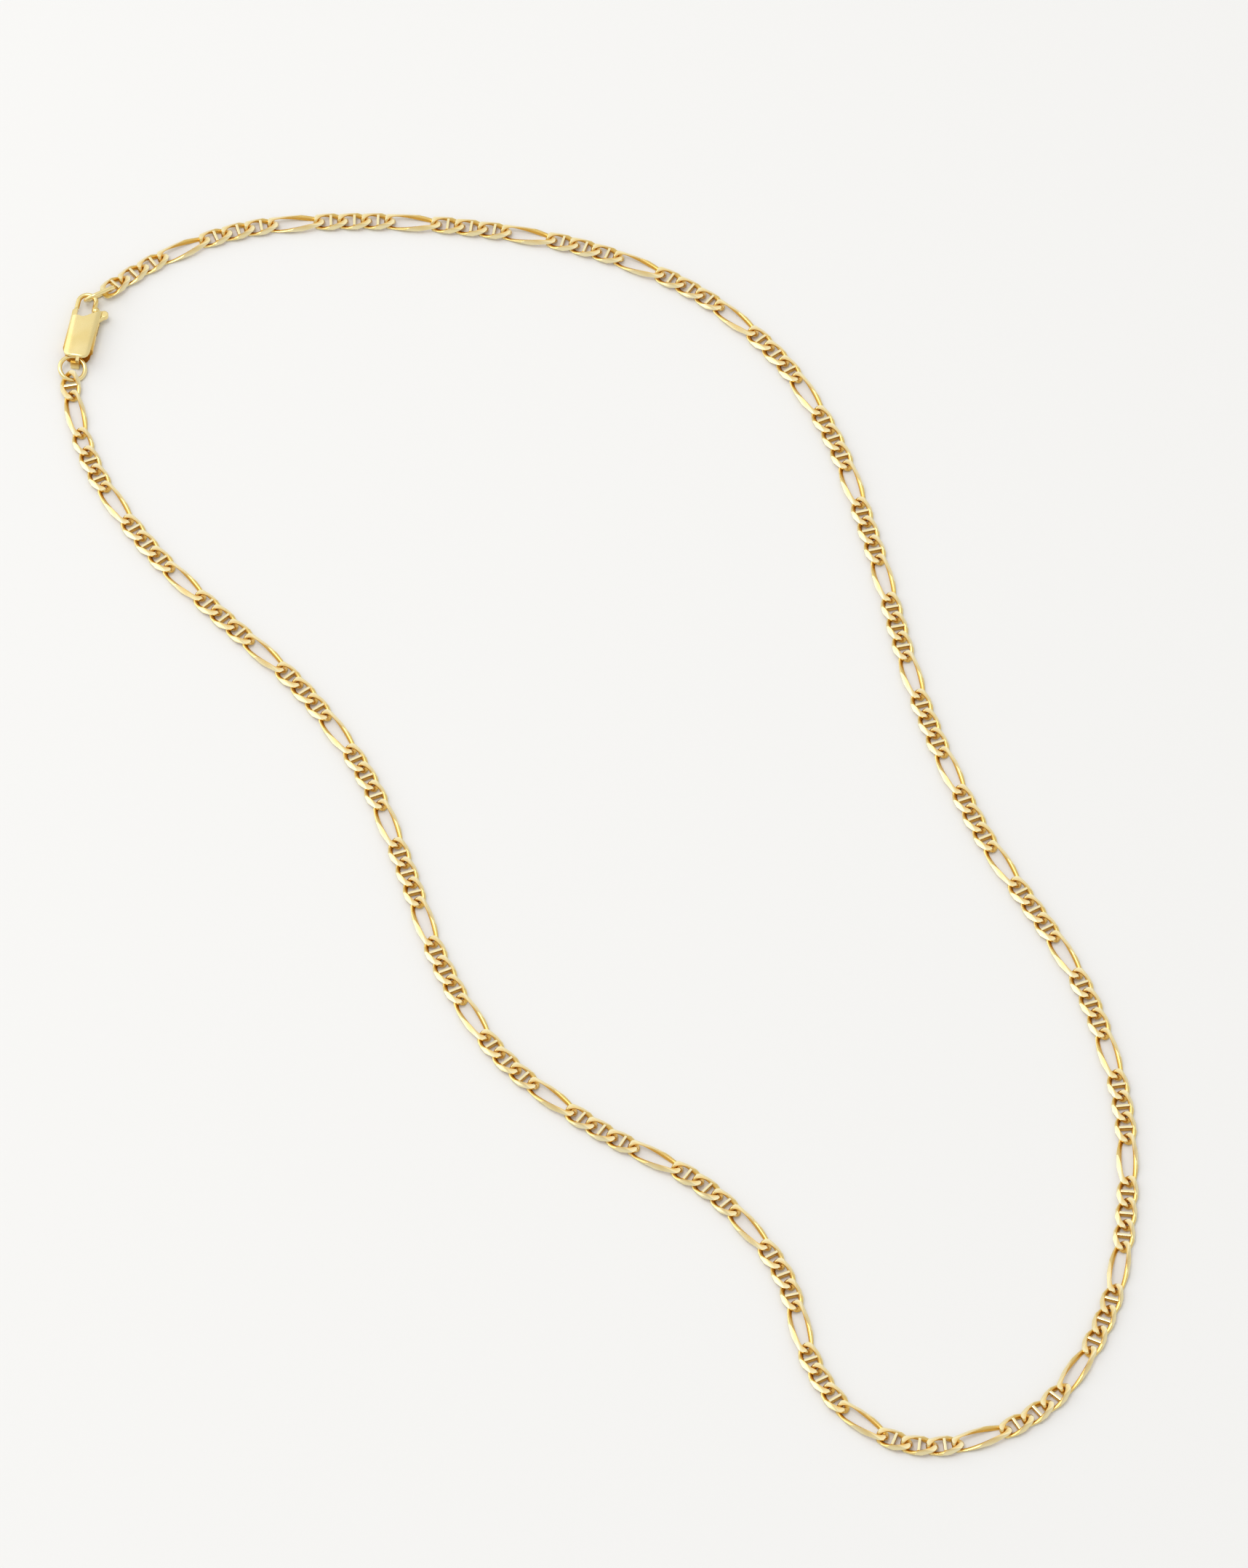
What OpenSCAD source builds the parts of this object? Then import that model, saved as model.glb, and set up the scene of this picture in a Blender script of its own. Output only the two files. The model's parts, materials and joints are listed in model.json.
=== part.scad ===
// Necklace of flat-cut curb links, three short ones with a crossbar and then one long one, closed by a
// trigger clasp. It lies closed on a table, as a loose loop. Millimetres, +Z up, the table at z = 0.

/* [Chain] */
// Width of the chain over the cut sides
chain_w = 3; // [2.95:0.01:3.1]
// Thickness of the chain between its flat faces
chain_t = 1.1; // [1.05:0.01:1.2]
// Thickness of the wire that a link is bent from
wire_d = 0.8; // [0.74:0.01:0.82]
// Step that a short link adds to the chain
short_pitch = 3.5; // [3.48:0.01:3.54]
// Step that a long link adds to the chain
long_pitch = 6.9; // [6.8:0.01:7]
// Twist of each end of a link, against its middle
end_twist = 45; // [42:1:48]
// Width of the crossbar, seen from above
bar_w = 0.42; // [0.3:0.02:0.6]
// Height of the crossbar
bar_h = 0.84; // [0.6:0.02:0.9]

/* [Rings] */
// Outer diameter of the jump ring at the clasp's base
jump_d = 4.4; // [4.3:0.05:4.5]
// Wire of the jump ring
jump_wire = 0.65; // [0.6:0.05:0.7]
// Length of the oval end ring, in the hook
end_l = 5.2; // [5.1:0.05:5.3]
// Width of the oval end ring
end_w = 3.4; // [3.3:0.05:3.5]
// Wire of the end ring
end_wire = 0.6; // [0.55:0.05:0.6]

/* [Clasp] */
// Width of the clasp's body
body_w = 4.4; // [4.3:0.05:4.5]
// Thickness of the clasp's body at its middle
body_t = 2.4; // [2.3:0.05:2.5]
// Width of the hook's wire
hook_w = 0.7; // [0.65:0.05:0.75]
// Thickness of the lever
lever_t = 0.86; // [0.8:0.02:0.9]
// Diameter of the rivet that the lever turns on
rivet_d = 1; // [0.9:0.05:1.1]
// Running clearance round the rivet and on the lever's faces
running_gap = 0.05; // [0.03:0.01:0.07]

/* [Hidden] */
$fn = 48;
gold = [0.87, 0.74, 0.44];
pale_gold = [0.93, 0.84, 0.6];

// Links: the first one hangs on the jump ring, then every fourth is a long one.
link_count = 125;
lower_count = 62;
plain_link = 2;
function is_long(i) = i % 4 == 1;
function has_bar(i) = !is_long(i) && i != plain_link;
function pitch(i) = is_long(i) ? long_pitch : short_pitch;

// Clear way left between the wires of two links at their joint.
link_play = 0.12;
// Sections of the wire: five sides, with an edge towards the inside of the link.
wire_sides = 5;
stations = 12;
wire_r = wire_d / 2;
half_w = chain_w / 2;
half_t = chain_t / 2;
oval_b = half_w - 0.3;
// The bevel that is cut along both outer sides starts this high above the middle of the chain.
bevel_start = 0.05;
bevel_angle = 50;
bevel_reach = half_w * cos(bevel_angle) + bevel_start * sin(bevel_angle);

// One half of a link's oval: columns step from the end of the link, distance from its axis.
NOSE = [
    [0, 0.4],
    [0.55, 1.05]
];
// Where the straight part of the oval starts, from the middle of a short and of a long link.
short_straight = bar_w / 2;
long_straight = 1.8;

function half_length(i) = (pitch(i) + wire_d + link_play) / 2;
function straight(i) = is_long(i) ? long_straight : short_straight;
function quarter(i) = concat([for (row = NOSE) [half_length(i) - row[0], row[1]]], [[straight(i), oval_b]]);
function left_of(points) = [for (k = [len(points) - 1:-1:0]) [-points[k][0], points[k][1]]];
function oval(i) = let (top = concat(quarter(i), left_of(quarter(i)))) concat(top, -top);

function unit(v) = v / norm(v);
function outward(points, k) =
    let (n = len(points))
    let (along = unit(points[(k + 1) % n] - points[(k + n - 1) % n]))
    [along[1], -along[0]];

// Cuts a point back to the flat faces and to the bevels along the sides.
function cut_back(y, z) =
    let (past = max(0, abs(y) * cos(bevel_angle) + abs(z) * sin(bevel_angle) - bevel_reach))
    let (cut_y = min(abs(y) - past * cos(bevel_angle), half_w))
    let (cut_z = min(abs(z) - past * sin(bevel_angle), half_t))
    [sign(y) * cut_y, sign(z) * cut_z];

// One corner of the wire at one station of the oval, in the link's own frame.
function wire_corner(i, at, out, side) =
    let (turn = 180 + 360 * side / wire_sides)
    let (reach = wire_r * cos(turn))
    let (x = at[0] + out[0] * reach)
    let (y = at[1] + out[1] * reach)
    let (z = wire_r * sin(turn))
    let (twist = -end_twist * at[0] / half_length(i))
    let (cut = cut_back(y * cos(twist) - z * sin(twist), y * sin(twist) + z * cos(twist)))
    [x, cut[0], cut[1]];

// The four stations beside a crossbar keep to its height at their inner side.
function bar_corner(i, corner) =
    has_bar(i) && abs(corner[0]) <= bar_w && abs(corner[1]) < oval_b
    ? [corner[0], corner[1], sign(corner[2]) * min(abs(corner[2]), bar_h / 2)]
    : corner;

function link_points(i) =
    let (line = oval(i))
    [for (k = [0:stations - 1]) for (side = [0:wire_sides - 1])
        bar_corner(i, wire_corner(i, line[k], outward(line, k), side))];

// Faces of a closed wire, and of one whose inner sides between stations 2, 3 and 8, 9 carry the crossbar.
// Corner 0 is the inner edge, corner 1 lies below it and the last corner above it.
function corner_no(station, side) = (station % stations) * wire_sides + side % wire_sides;
function wire_quad(k, side) =
    [corner_no(k, side), corner_no(k, side + 1), corner_no(k + 1, side + 1), corner_no(k + 1, side)];
function bar_side(k, side) = (k == 2 || k == 8) && (side == 0 || side == wire_sides - 1);
function wire_faces(bar) = [for (k = [0:stations - 1]) for (side = [0:wire_sides - 1])
    if (!bar || !bar_side(k, side)) wire_quad(k, side)];
function pair_of(face) = [[face[0], face[1], face[2]], [face[0], face[2], face[3]]];
low = 1;
high = wire_sides - 1;
BAR_FACES = [
    [corner_no(3, high), corner_no(2, high), corner_no(9, high), corner_no(8, high)],
    [corner_no(2, low), corner_no(3, low), corner_no(8, low), corner_no(9, low)],
    [corner_no(2, high), corner_no(2, 0), corner_no(9, 0), corner_no(9, high)],
    [corner_no(2, 0), corner_no(2, low), corner_no(9, low), corner_no(9, 0)],
    [corner_no(3, 0), corner_no(3, high), corner_no(8, high), corner_no(8, 0)],
    [corner_no(3, low), corner_no(3, 0), corner_no(8, 0), corner_no(8, low)]
];
WIRE = [for (face = wire_faces(false)) each pair_of(face)];
WIRE_WITH_BAR = [for (face = concat(wire_faces(true), BAR_FACES)) each pair_of(face)];

// The route of the chain on the table, from the jump ring down, round and back to the hook: columns x, y.
// The middle of the finished loop's box, in the same frame, is moved to the origin.
loop_middle = [-0.54, 0.06];
ROUTE = [
    [-75.7, 75.4],
    [-72.3, 60.5],
    [-63.5, 45.3],
    [-52.3, 32.5],
    [-40.6, 20],
    [-31.4, 5.5],
    [-25.4, -10.5],
    [-20, -27],
    [-11.6, -42],
    [1.5, -53.6],
    [16.8, -63.3],
    [27, -76.5],
    [31.6, -92.5],
    [36.5, -99.8],
    [44.3, -104],
    [54, -103],
    [62, -98.5],
    [70.8, -85],
    [74.5, -67.8],
    [74.6, -50.2],
    [70.7, -33.4],
    [55.2, -2.7],
    [49, 14],
    [40.9, 47.6],
    [36, 64.3],
    [27.9, 79.4],
    [15.4, 91.5],
    [-0.5, 99.3],
    [-17.3, 103],
    [-34.9, 104.2],
    [-52.4, 102.2],
    [-67.5, 93.9],
    [-70.8, 90.8]
];
last_row = len(ROUTE) - 1;
SPANS = [for (k = [0:last_row - 1]) norm(ROUTE[k + 1] - ROUTE[k])];
function slope(k) = (ROUTE[k + 1] - ROUTE[k]) / SPANS[k];
function inner_heading(k) = (slope(k - 1) * SPANS[k] + slope(k) * SPANS[k - 1]) / (SPANS[k] + SPANS[k - 1]);
function heading(k) =
    k == 0 ? 2 * slope(0) - inner_heading(1)
    : k == last_row ? 2 * slope(last_row - 1) - inner_heading(last_row - 1)
    : inner_heading(k);

// A smooth cubic through the rows, cut into short steps.
steps = 12;
function on_curve(k, t) =
    (2 * pow(t, 3) - 3 * pow(t, 2) + 1) * ROUTE[k]
    + (pow(t, 3) - 2 * pow(t, 2) + t) * SPANS[k] * heading(k)
    + (3 * pow(t, 2) - 2 * pow(t, 3)) * ROUTE[k + 1]
    + (pow(t, 3) - pow(t, 2)) * SPANS[k] * heading(k + 1);
LINE = [for (k = [0:last_row - 1]) for (j = [0:steps - 1]) on_curve(k, j / steps), ROUTE[last_row]];
line_last = len(LINE) - 1;
function step_after(k) = k < line_last ? norm(LINE[k + 1] - LINE[k]) : 0;
LINE_AT = [for (k = 0, s = 0; k <= line_last; s = s + step_after(k), k = k + 1) s];
line_length = LINE_AT[line_last];

// The joints between links share out the length of the route, so the play of the chain takes up what is left.
PITCHES = [for (i = [0:link_count - 1]) pitch(i)];
JOINT_AT = [for (i = 0, s = 0; i <= link_count; s = s + (i < link_count ? PITCHES[i] : 0), i = i + 1) s];
spread = line_length / JOINT_AT[link_count];
function at_length(s) =
    let (k = min(line_last - 1, max([for (j = [0:line_last - 1]) LINE_AT[j] <= s ? j : 0])))
    LINE[k] + (LINE[k + 1] - LINE[k]) * (s - LINE_AT[k]) / (LINE_AT[k + 1] - LINE_AT[k]);
JOINTS = [for (s = JOINT_AT) at_length(s * spread) - loop_middle];

// The first and the last link are lifted at their outer end by the ring that holds them, and the first one
// rolls a little. Columns: joint, rise.
RISES = [
    [0, 0.25],
    [1, 0.05],
    [link_count - 2, 0.03],
    [link_count - 1, 0.16],
    [link_count, 0.53]
];
first_roll = 6;
function rise(j) =
    let (found = [for (row = RISES) if (row[0] == j) row[1]])
    len(found) > 0 ? found[0] : 0;
function joint(j) = [JOINTS[j][0], JOINTS[j][1], half_t + rise(j)];

// Moves a link's corners to its place between two joints, with its flat face up.
function placed(corners, from, to, roll) =
    let (along = unit(to - from))
    let (level = unit([-along[1], along[0], 0]))
    let (raised = cross(along, level))
    let (side = level * cos(roll) + raised * sin(roll))
    let (up = raised * cos(roll) - level * sin(roll))
    [for (c = corners) (from + to) / 2 + along * c[0] + side * c[1] + up * c[2]];

module chain(first, last) {
    corners = [for (i = [first:last])
        each placed(link_points(i), joint(i), joint(i + 1), i == 0 ? first_roll : 0)];
    per_link = stations * wire_sides;
    faces = [for (i = [first:last]) for (face = has_bar(i) ? WIRE_WITH_BAR : WIRE)
        [for (c = face) c + (i - first) * per_link]];
    polyhedron(points = corners, faces = faces);
}

module chain_lower() {
    color(gold) chain(0, lower_count - 1);
}

module chain_upper() {
    color(gold) chain(lower_count, link_count - 1);
}

// The clasp's own frame: its base at the origin, +Y towards the hook, +X towards the thumb tab.
clasp_base = [-74.9, 78] - loop_middle;
clasp_heading = 9.5;
module on_clasp() {
    translate([clasp_base[0], clasp_base[1], 0]) rotate([0, 0, -clasp_heading]) children();
}

// Facets of the sections of round wire.
wire_fn = 32;
module ring(outer, wire) {
    rotate_extrude() translate([(outer - wire) / 2, 0]) circle(d = wire, $fn = wire_fn);
}

// The jump ring leans on the table, and its far side passes behind the clasp's base post.
jump_at = [-0.2, -1.38, 0.98];
jump_lean = 16;
jump_dip = 10;
module jump_ring() {
    color(gold) on_clasp() translate(jump_at) rotate([jump_dip, jump_lean, 0]) ring(jump_d, jump_wire);
}

// The end ring is a plain oval one. It stands on its side and takes in the shoulder of the hook.
end_at = [1.14, 12.26, 1.56];
end_turn = 39;
end_lean = -61;
module oval_ring(length, width, wire) {
    straight = length - width;
    for (side = [0, 180]) rotate([0, 0, side]) translate([straight / 2, 0, 0]) rotate([0, 0, -90])
        rotate_extrude(angle = 180) translate([(width - wire) / 2, 0]) circle(d = wire, $fn = wire_fn);
    for (side = [-1, 1]) translate([0, side * (width - wire) / 2, 0]) rotate([0, 90, 0])
        cylinder(d = wire, h = straight, center = true, $fn = wire_fn);
}
module end_ring() {
    color(gold) on_clasp() translate(end_at) rotate([0, 0, end_turn]) rotate([end_lean, 0, 0])
        oval_ring(end_l, end_w, end_wire);
}

// Clasp body: the left shoulder ends below the gate, and the right one carries the hook.
half_body = body_w / 2;
mid_z = body_t / 2;
corner_r = 1.5;
shoulder_y = 7.5;
// The front of the right shoulder ends on a slant, and its back narrows and runs on up to the hook's root.
slant_x = 0.2;
front_horn_y = 9.1;
back_horn_y = 9.9;
back_horn_x = 1.75;
hook_at = [-0.42, 10.75];
hook_hole_r = 0.95;
hook_mid_r = hook_hole_r + hook_w / 2;
// The hook's opening is longer than it is wide. Its round lower end is centred here.
hole_low_y = 8.25;
// Where the hook's wire ends: deep in the body on the right, short above the gate on the left.
root_y = 9.35;
tip_drop = 1.85;
// Solids that are fused lap by this much.
lap = 0.1;

module body_outline() {
    for (side = [-1, 1]) translate([side * (half_body - corner_r), corner_r]) circle(r = corner_r);
    translate([corner_r - half_body, 0]) square([body_w - 2 * corner_r, corner_r + lap]);
    translate([-half_body, corner_r]) square([body_w, shoulder_y - corner_r]);
}

module front_outline() {
    body_outline();
    polygon([
        [slant_x, shoulder_y - lap],
        [half_body, shoulder_y - lap],
        [half_body, front_horn_y],
        [slant_x, shoulder_y]
    ]);
}

module back_outline() {
    inner_x = hook_at[0] + hook_hole_r;
    body_outline();
    polygon([
        [inner_x, shoulder_y - lap],
        [half_body, shoulder_y - lap],
        [half_body, shoulder_y],
        [back_horn_x, back_horn_y],
        [inner_x, back_horn_y]
    ]);
}

module hook() {
    translate([hook_at[0], hook_at[1], mid_z]) {
        rotate_extrude(angle = 180) translate([hook_mid_r, 0]) circle(d = hook_w, $fn = wire_fn);
        for (side = [-1, 1]) translate([side * hook_mid_r, 0, 0]) rotate([90, 0, 0])
            cylinder(d = hook_w, h = side > 0 ? hook_at[1] - root_y : tip_drop, $fn = wire_fn);
    }
}

// The body's section is a lens: domed in front, and flat behind with its sides turned up.
dome_r = 6;
back_flat = 1.3;
back_rise = 0.5;
module body_section() {
    intersection() {
        translate([0, body_t - dome_r]) circle(r = dome_r, $fn = 96);
        polygon([
            [-back_flat, 0],
            [back_flat, 0],
            [half_body, back_rise],
            [half_body, body_t],
            [-half_body, body_t],
            [-half_body, back_rise]
        ]);
    }
}

module cheeks() {
    intersection() {
        difference() {
            union() {
                linear_extrude(height = body_t) front_outline();
                linear_extrude(height = mid_z + hook_w / 2) back_outline();
            }
            translate([hook_at[0], hole_low_y, -1]) cylinder(r = hook_hole_r, h = body_t + 2);
            translate([hook_at[0] - hook_hole_r, hole_low_y, -1])
                cube([2 * hook_hole_r, hook_at[1] - hole_low_y, body_t + 2]);
        }
        rotate([90, 0, 0]) translate([0, 0, -back_horn_y - 1])
            linear_extrude(height = back_horn_y + 2) body_section();
    }
}

// The lever's slot opens to both sides, and ends below the hook's root.
pivot_at = [0.3, 6.2];
slot_h = lever_t + 2 * running_gap;
slot_floor_y = 4.6;
wall_z = mid_z - slot_h / 2;
// The channel at the base lets the jump ring pass.
channel_h = 1.56;
channel_y = 1.75;
// Half of a length that reaches past the body on either side.
past = body_w;
module slots() {
    translate([-past, slot_floor_y, wall_z]) cube([2 * past, root_y - slot_floor_y, slot_h]);
    translate([-past, -past, mid_z - channel_h / 2]) cube([2 * past, past + channel_y, channel_h]);
}

// The base post: a tongue that runs on from the back cheek, turns up and joins the front cheek by a strip.
post_w = 1.3;
post_y = -0.75;
post_lap = 0.45;
tongue_t = 0.5;
tongue_h = 1.6;
strip_t = 0.25;
module base_post() {
    reach = post_lap - post_y;
    translate([-post_w / 2, post_y, 0]) cube([post_w, reach, tongue_t]);
    translate([-post_w / 2, post_y, 0]) cube([post_w, tongue_t, tongue_h]);
    translate([post_w / 2 - tongue_t, post_y, tongue_h - lap])
        cube([tongue_t, tongue_t, mid_z + channel_h / 2 + strip_t - tongue_h + lap]);
    translate([post_w / 2 - tongue_t, post_y, mid_z + channel_h / 2]) cube([tongue_t, reach, strip_t]);
}

// A narrow seam parts the hook's tip from the gate. It follows the gate's swing.
gate_reach = 3.6;
seam = 0.08;
module seam_cut() {
    intersection() {
        translate([pivot_at[0], pivot_at[1], 0]) cylinder(r = gate_reach + seam, h = body_t, $fn = 96);
        translate([-past, shoulder_y, 0]) cube([past + hook_at[0], past, body_t]);
    }
}

rivet_lap = 0.2;
module clasp_body() {
    color(pale_gold) on_clasp() {
        difference() {
            cheeks();
            slots();
        }
        difference() {
            hook();
            seam_cut();
        }
        base_post();
        translate([pivot_at[0], pivot_at[1], wall_z - rivet_lap])
            cylinder(d = rivet_d, h = slot_h + 2 * rivet_lap);
    }
}

// Lever: hub, gate arm up the left side, and thumb tab out of the right side.
hub_r = 1.25;
gate_w = 0.74;
gate_x = -1.83;
heel_h = 1;
heel_drop = 0.4;
tab_at = [2.5, 8.75];
tab_r = 0.65;
module lever_outline() {
    translate(pivot_at) circle(r = hub_r);
    intersection() {
        translate([gate_x - gate_w / 2, pivot_at[1] - heel_drop]) square([gate_w, gate_reach + heel_drop]);
        translate(pivot_at) circle(r = gate_reach, $fn = 96);
    }
    translate([gate_x - gate_w / 2, pivot_at[1] - heel_drop]) square([pivot_at[0] - gate_x, heel_h]);
    translate(tab_at) circle(r = tab_r);
    polygon([
        pivot_at - [0, heel_h / 2],
        tab_at + [tab_r / 3, -tab_r],
        tab_at + [0, tab_r],
        pivot_at + [0, heel_h]
    ]);
}

module clasp_lever() {
    color(gold) on_clasp() translate([0, 0, mid_z - lever_t / 2]) difference() {
        linear_extrude(height = lever_t) lever_outline();
        translate([pivot_at[0], pivot_at[1], -1]) cylinder(d = rivet_d + 2 * running_gap, h = lever_t + 2);
    }
}

chain_lower();
chain_upper();
jump_ring();
end_ring();
clasp_body();
clasp_lever();
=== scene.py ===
# %% [markdown]
# # A flat-cut chain necklace with a trigger clasp
#
# The necklace lies as a loose loop on a pale table. Its links are bent from round wire, twisted, pressed
# flat and then cut with a diamond tool, so each one mixes round polished wire with flat bright facets.
# Three short links with a crossbar are followed by one long open link, all the way round.
#
# The engineering model gives the place of every link, ring and lever. This lesson keeps those places and
# remodels each piece with its fine form, then gives it a gold that is built from shader nodes.

import json
import math

import bmesh
import bpy
import numpy as np
from mathutils import Matrix, Vector

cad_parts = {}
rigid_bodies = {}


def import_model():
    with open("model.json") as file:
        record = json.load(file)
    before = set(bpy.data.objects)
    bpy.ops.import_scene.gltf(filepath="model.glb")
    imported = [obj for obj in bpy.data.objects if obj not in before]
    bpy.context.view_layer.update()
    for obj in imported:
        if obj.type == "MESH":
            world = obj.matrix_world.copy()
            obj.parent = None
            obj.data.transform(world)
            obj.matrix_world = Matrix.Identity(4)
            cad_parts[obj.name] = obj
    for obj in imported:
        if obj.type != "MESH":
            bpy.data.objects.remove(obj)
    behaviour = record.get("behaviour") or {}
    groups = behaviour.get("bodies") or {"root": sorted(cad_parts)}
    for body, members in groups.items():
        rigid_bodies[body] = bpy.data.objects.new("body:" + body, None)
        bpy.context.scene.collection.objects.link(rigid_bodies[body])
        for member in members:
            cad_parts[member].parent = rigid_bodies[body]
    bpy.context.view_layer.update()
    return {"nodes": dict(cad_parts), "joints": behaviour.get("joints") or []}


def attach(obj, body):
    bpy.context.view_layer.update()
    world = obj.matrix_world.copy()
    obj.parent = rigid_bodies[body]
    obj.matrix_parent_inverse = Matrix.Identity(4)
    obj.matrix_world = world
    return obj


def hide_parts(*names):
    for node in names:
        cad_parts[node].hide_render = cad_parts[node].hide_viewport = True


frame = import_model()
nodes = frame["nodes"]
print("nodes:", sorted(nodes))

# %% [markdown]
# ## Camera
#
# The photograph looks down at the table at a steep slant from the near side. Lines that run away from the
# viewer hardly meet, so the lens is long and stands far off. The camera is put at that angle above the
# floor and aimed at the point that the middle of the picture shows.

# %% Camera
CAMERA_RISE = math.radians(56.1)
CAMERA_AWAY = 1.2507
LENS = 202.2
SENSOR = 36
aim = Vector((0.00604, 0.00394, 0))

camera_data = bpy.data.cameras.new("camera")
camera_data.sensor_fit = "VERTICAL"
camera_data.sensor_height = SENSOR
camera_data.lens = LENS
camera_data.clip_end = 10
camera = bpy.data.objects.new("camera", camera_data)
camera.location = aim + CAMERA_AWAY * Vector((0, -math.cos(CAMERA_RISE), math.sin(CAMERA_RISE)))
camera.rotation_euler = (math.radians(90) - CAMERA_RISE, 0, 0)
bpy.context.scene.collection.objects.link(camera)
bpy.context.scene.camera = camera
print("camera stands at", [round(c, 3) for c in camera.location])

# %% [markdown]
# ## A small language for shaders
#
# Every finish is a few formulas over noise. Writing the nodes one by one hides the formula, so one class
# wraps a number that a node puts out and lets Python's own + - * work on it. One more method makes any
# other node from its type, its settings and its inputs.

# %% Shader language
class Number:
    """A number in a shader. Sums and products of it are new Math nodes."""

    def __init__(self, look, socket):
        self.look = look
        self.socket = socket

    def math(self, operation, *values):
        made = self.look.node("ShaderNodeMath", {"operation": operation}, dict(enumerate(values)))
        return Number(self.look, made.outputs[0])

    def __add__(self, other):
        return self.math("ADD", self, other)

    def __sub__(self, other):
        return self.math("SUBTRACT", self, other)

    def __mul__(self, other):
        return self.math("MULTIPLY", self, other)

    def limited(self, low, high):
        return self.math("MAXIMUM", self.math("MINIMUM", self, high), low)


class Look:
    """A material that is being written: its node tree, and the one method that adds nodes to it."""

    def __init__(self, name):
        self.material = bpy.data.materials.new(name)
        self.material.use_nodes = True
        self.tree = self.material.node_tree
        self.surface = self.tree.nodes["Principled BSDF"]
        self.place = self.node("ShaderNodeTexCoord", {}, {}).outputs["Object"]

    def plug(self, socket, value):
        value = getattr(value, "socket", value)
        if isinstance(value, bpy.types.NodeSocket):
            self.tree.links.new(value, socket)
        else:
            socket.default_value = value

    def node(self, kind, settings, inputs):
        made = self.tree.nodes.new(kind)
        for name, value in settings.items():
            setattr(made, name, value)
        for name, value in inputs.items():
            self.plug(made.inputs[name], value)
        return made

    def noise(self, size, detail, stretch=(1, 1, 1)):
        """Noise with grains of about this size in metres, from 0 to 1."""
        at = self.node("ShaderNodeMapping", {}, {"Vector": self.place, "Scale": stretch})
        inputs = {"Vector": at.outputs[0], "Scale": 1 / size, "Detail": detail}
        made = self.node("ShaderNodeTexNoise", {}, inputs)
        return Number(self, made.outputs["Fac"])

    def blend(self, factor, first, second):
        """A colour between two colours."""
        mixed = self.node("ShaderNodeMix", {"data_type": "RGBA"}, {0: factor, 6: first, 7: second})
        return mixed.outputs[2]

    def bump(self, height, depth):
        """A normal that is pushed by this height. Depth is in metres."""
        made = self.node("ShaderNodeBump", {}, {"Height": height, "Distance": depth, "Strength": 1.0})
        return made.outputs[0]


print("shader language ready")

# %% [markdown]
# ## Gold
#
# The metal is a warm yellow gold alloy. Several finishes show on the real thing. Round wire is polished and
# wears a little along the chain, so its gloss changes over a few links. Cut facets keep the fine lines of
# the tool. The clasp is stamped, buffed and softly hazed. They all share one recipe with other numbers: a
# tone that drifts slowly over the metal, fine wear that dulls it in places, and a very shallow bump. The
# inner sides of the wire and the hollows are painted in a darker, more orange gold, as painted shade, and
# are made a little rougher. Each mesh carries that as an attribute, depth, which is 0 on the open outside
# and 1 well inside.

# %% Gold recipe
WARM_GOLD = (0.90, 0.70, 0.27, 1)
PALE_GOLD = (0.94, 0.81, 0.44, 1)
# Painted highlight: the creamiest tone, used only on the cut facets and the crossbar.
CREAM_HIGHLIGHT_GOLD = (0.96, 0.87, 0.57, 1)
# Painted shade: the darker, more orange gold of inner sides and hollows.
SHADED_INNER_GOLD = (0.76, 0.45, 0.08, 1)
BUFFED_GOLD = (0.86, 0.68, 0.28, 1)
# Sizes of the slow drift in tone, the haze of wear and the tool's grain, and depth of the bump, in metres.
DRIFT_SIZE = 0.004
HAZE_SIZE = 0.0011
GRAIN_SIZE = 0.00022
BUMP_DEPTH = 0.0000025


def gold(name, low, high, gloss, wear, lines):
    """A gold finish: two tones, the best roughness, what wear adds to it, and how tool lines stretch."""
    look = Look(name)
    drift = look.noise(DRIFT_SIZE, 2.0)
    haze = look.noise(HAZE_SIZE, 4.0)
    grain = look.noise(GRAIN_SIZE, 2.0, stretch=lines)
    depth = Number(look, look.node("ShaderNodeAttribute", {"attribute_name": "depth"}, {}).outputs["Fac"])
    tone = (drift * 1.6 - 0.3).limited(0, 1)
    dull = (haze * 1.8 - 0.55).limited(0, 1)
    # Painted shade: where depth is high the colour turns to the darker inner gold, and roughness rises a
    # little.
    inside = (depth * 1.3 - 0.3).limited(0, 1)
    open_tone = look.blend(tone, low, high)
    look.plug(look.surface.inputs["Base Color"], look.blend(inside, open_tone, SHADED_INNER_GOLD))
    look.plug(look.surface.inputs["Roughness"], dull * wear + grain * (wear / 2) + inside * 0.12 + gloss)
    look.plug(look.surface.inputs["Normal"], look.bump(grain * 0.6 + haze * 0.4, BUMP_DEPTH))
    look.surface.inputs["Metallic"].default_value = 1
    print("finish", name, "has", len(look.tree.nodes), "nodes")
    return look.material


wire_gold = gold("polished_wire_gold", WARM_GOLD, PALE_GOLD, 0.13, 0.10, (1, 1, 1))
# Cut facets and the crossbar get a paler, creamier pair of tones than the round wire: a painted highlight.
cut_gold = gold("cut_facet_gold", PALE_GOLD, CREAM_HIGHLIGHT_GOLD, 0.17, 0.08, (0.25, 1.6, 1))
bar_gold = gold("crossbar_gold", PALE_GOLD, CREAM_HIGHLIGHT_GOLD, 0.16, 0.10, (1, 1, 1))
clasp_gold = gold("buffed_clasp_gold", BUFFED_GOLD, PALE_GOLD, 0.20, 0.10, (1.4, 0.4, 1))
lever_gold = gold("lever_gold", WARM_GOLD, PALE_GOLD, 0.18, 0.10, (1, 1, 1))

# %% [markdown]
# ## From a bmesh to a finished piece
#
# Work in millimetres is easier to read, because the links are only a few of them long. This helper turns
# a bmesh into an object in metres, merges doubles, points the faces outwards and shades it smooth except
# along its cut edges. The piece then rides on its body and takes the place of the model's plain solid.

# %% Finishing helper
MILLIMETRE = 0.001
CUT_EDGE = math.radians(28)
# Points closer than this, in millimetres, are one point, and a point this close to a plane lies on it.
SAME_POINT = 1e-4
ON_PLANE = 1e-5


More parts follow.
